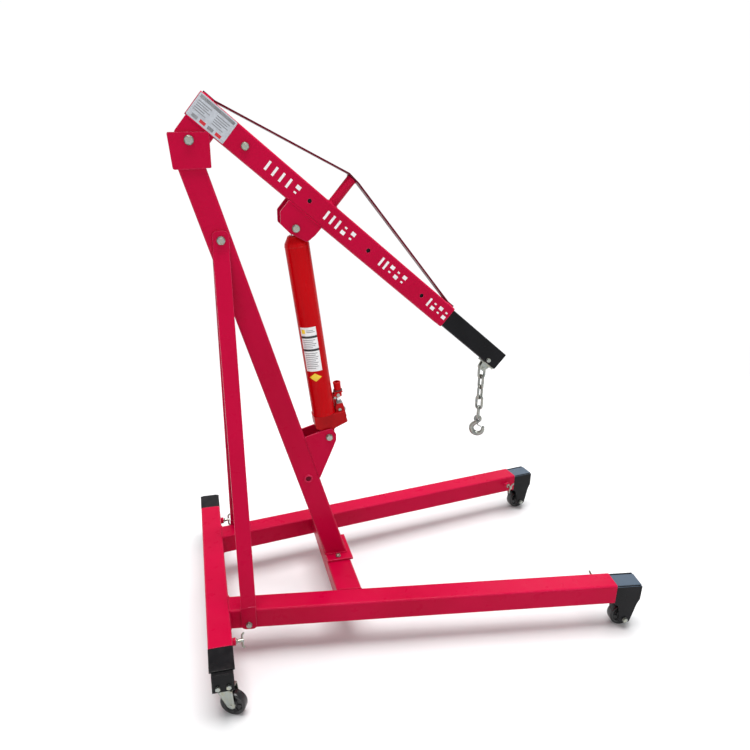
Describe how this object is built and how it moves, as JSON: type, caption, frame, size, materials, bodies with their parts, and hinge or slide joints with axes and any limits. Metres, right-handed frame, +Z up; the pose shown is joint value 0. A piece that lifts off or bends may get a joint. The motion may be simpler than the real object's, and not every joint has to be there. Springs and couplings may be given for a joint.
{
  "type": "engine hoist crane",
  "caption": "Wheeled steel workshop crane with a splayed square-tube base, a leaning braced post, a trussed telescopic jib worked by a hydraulic ram, and a chain with a safety hook.",
  "frame": {"origin": "on the floor, below the middle of the crane's length and width", "axes": "+X from the rear beam towards the open ends of the legs, +Z up, left side +Y"},
  "size_m": [1.3804, 0.954, 1.6235],
  "materials": {
    "frame_red": "glossy crimson enamel",
    "ram_red": "glossy red enamel",
    "black_paint": "semi-gloss black enamel",
    "zinc_plate": "bright zinc plate",
    "ground_steel": "ground and polished",
    "wheel_rubber": "dark moulded nylon"
  },
  "bodies": {
    "base": {"rear_beam": "frame_red", "left_leg": "frame_red", "right_leg": "frame_red", "crossmember": "frame_red", "post": "frame_red", "post_foot": "frame_red", "foot_bolt_left": "zinc_plate", "foot_bolt_right": "zinc_plate", "left_brace": "frame_red", "right_brace": "frame_red", "brace_top_bolt": "zinc_plate", "brace_foot_bolt_left": "zinc_plate", "brace_foot_bolt_right": "zinc_plate", "head_bracket": "frame_red", "boom_pivot_bolt": "zinc_plate", "ram_bracket_left": "frame_red", "ram_bracket_right": "frame_red", "ram_foot_pin": "zinc_plate"},
    "boom": {"boom_tube": "frame_red", "boom_ear_left": "frame_red", "boom_ear_right": "frame_red", "boom_lug": "frame_red", "truss_strap": "frame_red", "truss_post": "frame_red", "ram_top_bolt_head": "zinc_plate", "ram_top_bolt_nut": "zinc_plate"},
    "extension": {"boom_extension": "black_paint", "hook_bracket": "zinc_plate", "hook_pin": "zinc_plate"},
    "lock_bolt": {"boom_lock_bolt": "zinc_plate"},
    "chain": {"chain_link_1": "zinc_plate", "chain_link_2": "zinc_plate", "chain_link_3": "zinc_plate", "chain_link_4": "zinc_plate", "chain_link_5": "zinc_plate"},
    "hook": {"hook": "zinc_plate"},
    "hook_latch": {"hook_latch": "zinc_plate"},
    "ram": {"ram_cylinder": "ram_red", "ram_base": "ram_red"},
    "rod": {"ram_rod": "ground_steel", "ram_top_pin": "zinc_plate"},
    "pump_lever": {"pump_lever": "ram_red"},
    "pump_plunger": {"pump_plunger": "ground_steel"},
    "release_valve": {"release_valve": "ground_steel"},
    "front_carrier_left": {"front_carrier_left": "black_paint", "front_axle_left": "zinc_plate"},
    "front_wheel_left": {"front_wheel_left": "wheel_rubber"},
    "front_thumb_screw_left": {"front_thumb_screw_left": "zinc_plate"},
    "front_carrier_right": {"front_carrier_right": "black_paint", "front_axle_right": "zinc_plate"},
    "front_wheel_right": {"front_wheel_right": "wheel_rubber"},
    "front_thumb_screw_right": {"front_thumb_screw_right": "zinc_plate"},
    "rear_carrier_left": {"rear_carrier_left": "black_paint"},
    "caster_fork_left": {"caster_fork_left": "zinc_plate"},
    "caster_wheel_left": {"caster_wheel_left": "wheel_rubber"},
    "rear_thumb_screw_left": {"rear_thumb_screw_left": "zinc_plate"},
    "rear_carrier_right": {"rear_carrier_right": "black_paint"},
    "caster_fork_right": {"caster_fork_right": "zinc_plate"},
    "caster_wheel_right": {"caster_wheel_right": "wheel_rubber"},
    "rear_thumb_screw_right": {"rear_thumb_screw_right": "zinc_plate"}
  },
  "joints": [
    {"name": "boom_lift", "type": "hinge", "parent": "base", "child": "boom", "pos_m": [-0.62524, 0, 1.506], "axis": [0, -1, 0], "range_deg": [0, 80]},
    {"name": "ram_tilt", "type": "hinge", "parent": "base", "child": "ram", "pos_m": [-0.26724, 0, 0.626], "axis": [0, 1, 0], "range_deg": [0, 3.4]},
    {"name": "ram_extend", "type": "slide", "parent": "ram", "child": "rod", "axis": [-0.1346, 0, 0.9909], "range_m": [0, 0.4526]},
    {"name": "pump_handle", "type": "hinge", "parent": "ram", "child": "pump_lever", "pos_m": [-0.24286, 0, 0.7489], "axis": [0, 1, 0], "range_deg": [0, 50]},
    {"name": "pump_stroke", "type": "slide", "parent": "ram", "child": "pump_plunger", "axis": [0.1346, 0, -0.9909], "range_m": [0, 0.0114]},
    {"name": "release_valve_turn", "type": "hinge", "parent": "ram", "child": "release_valve", "pos_m": [-0.24465, 0.02, 0.68256], "axis": [0, 1, 0], "range_deg": [0, 360]},
    {"name": "boom_extend", "type": "slide", "parent": "boom", "child": "extension", "axis": [0.766, 0, -0.6428], "range_m": [0, 0.66]},
    {"name": "lock_bolt_pull", "type": "slide", "parent": "boom", "child": "lock_bolt", "axis": [0, -1, 0], "range_m": [0, 0.05]},
    {"name": "chain_swing", "type": "hinge", "parent": "extension", "child": "chain", "pos_m": [0.2554, 0, 0.80687], "axis": [0, -1, 0], "range_deg": [-80, 0]},
    {"name": "hook_swing", "type": "hinge", "parent": "chain", "child": "hook", "pos_m": [0.2554, 0, 0.62167], "axis": [0.5592, 0.829, 0], "range_deg": [-40, 40]},
    {"name": "hook_latch_open", "type": "hinge", "parent": "hook", "child": "hook_latch", "pos_m": [0.25581, -0.00028, 0.59947], "axis": [0.5592, 0.829, 0], "range_deg": [0, 40]},
    {"name": "front_carrier_slide_left", "type": "slide", "parent": "base", "child": "front_carrier_left", "axis": [0.9907, 0.1362, 0], "range_m": [0, 0.1]},
    {"name": "front_wheel_roll_left", "type": "hinge", "parent": "front_carrier_left", "child": "front_wheel_left", "pos_m": [0.64576, 0.3721, 0.0375], "axis": [-0.1362, 0.9907, 0], "continuous": true},
    {"name": "front_thumb_screw_turn_left", "type": "hinge", "parent": "base", "child": "front_thumb_screw_left", "pos_m": [0.57037, 0.3264, 0.139], "axis": [0.1362, -0.9907, 0], "range_deg": [0, 360]},
    {"name": "front_carrier_slide_right", "type": "slide", "parent": "base", "child": "front_carrier_right", "axis": [0.9907, -0.1362, 0], "range_m": [0, 0.1]},
    {"name": "front_wheel_roll_right", "type": "hinge", "parent": "front_carrier_right", "child": "front_wheel_right", "pos_m": [0.64576, -0.3721, 0.0375], "axis": [0.1362, 0.9907, 0], "continuous": true},
    {"name": "front_thumb_screw_turn_right", "type": "hinge", "parent": "base", "child": "front_thumb_screw_right", "pos_m": [0.57037, -0.3264, 0.139], "axis": [0.1362, 0.9907, 0], "range_deg": [0, 360]},
    {"name": "rear_carrier_slide_left", "type": "slide", "parent": "base", "child": "rear_carrier_left", "axis": [0, 1, 0], "range_m": [0, 0.1]},
    {"name": "caster_swivel_left", "type": "hinge", "parent": "rear_carrier_left", "child": "caster_fork_left", "pos_m": [-0.65524, 0.431, 0.0375], "axis": [0, 0, 1], "continuous": true},
    {"name": "caster_wheel_roll_left", "type": "hinge", "parent": "caster_fork_left", "child": "caster_wheel_left", "pos_m": [-0.65231, 0.40315, 0.0375], "axis": [0.9945, 0.1045, 0], "continuous": true},
    {"name": "rear_thumb_screw_turn_left", "type": "hinge", "parent": "base", "child": "rear_thumb_screw_left", "pos_m": [-0.62024, 0.325, 0.139], "axis": [1, 0, 0], "range_deg": [0, 360]},
    {"name": "rear_carrier_slide_right", "type": "slide", "parent": "base", "child": "rear_carrier_right", "axis": [0, -1, 0], "range_m": [0, 0.1]},
    {"name": "caster_swivel_right", "type": "hinge", "parent": "rear_carrier_right", "child": "caster_fork_right", "pos_m": [-0.65524, -0.431, 0.0375], "axis": [0, 0, 1], "continuous": true},
    {"name": "caster_wheel_roll_right", "type": "hinge", "parent": "caster_fork_right", "child": "caster_wheel_right", "pos_m": [-0.62986, -0.44283, 0.0375], "axis": [0.4226, 0.9063, 0], "continuous": true},
    {"name": "rear_thumb_screw_turn_right", "type": "hinge", "parent": "base", "child": "rear_thumb_screw_right", "pos_m": [-0.62024, -0.325, 0.139], "axis": [1, 0, 0], "range_deg": [0, 360]}
  ],
  "couplings": [
    {"joint": "ram_tilt", "follows": "boom_lift", "ratio": 0.041551},
    {"joint": "ram_extend", "follows": "boom_lift", "m_per_rad": 0.32401},
    {"joint": "chain_swing", "follows": "boom_lift", "ratio": -1},
    {"joint": "pump_stroke", "follows": "pump_handle", "m_per_rad": 0.0129}
  ]
}
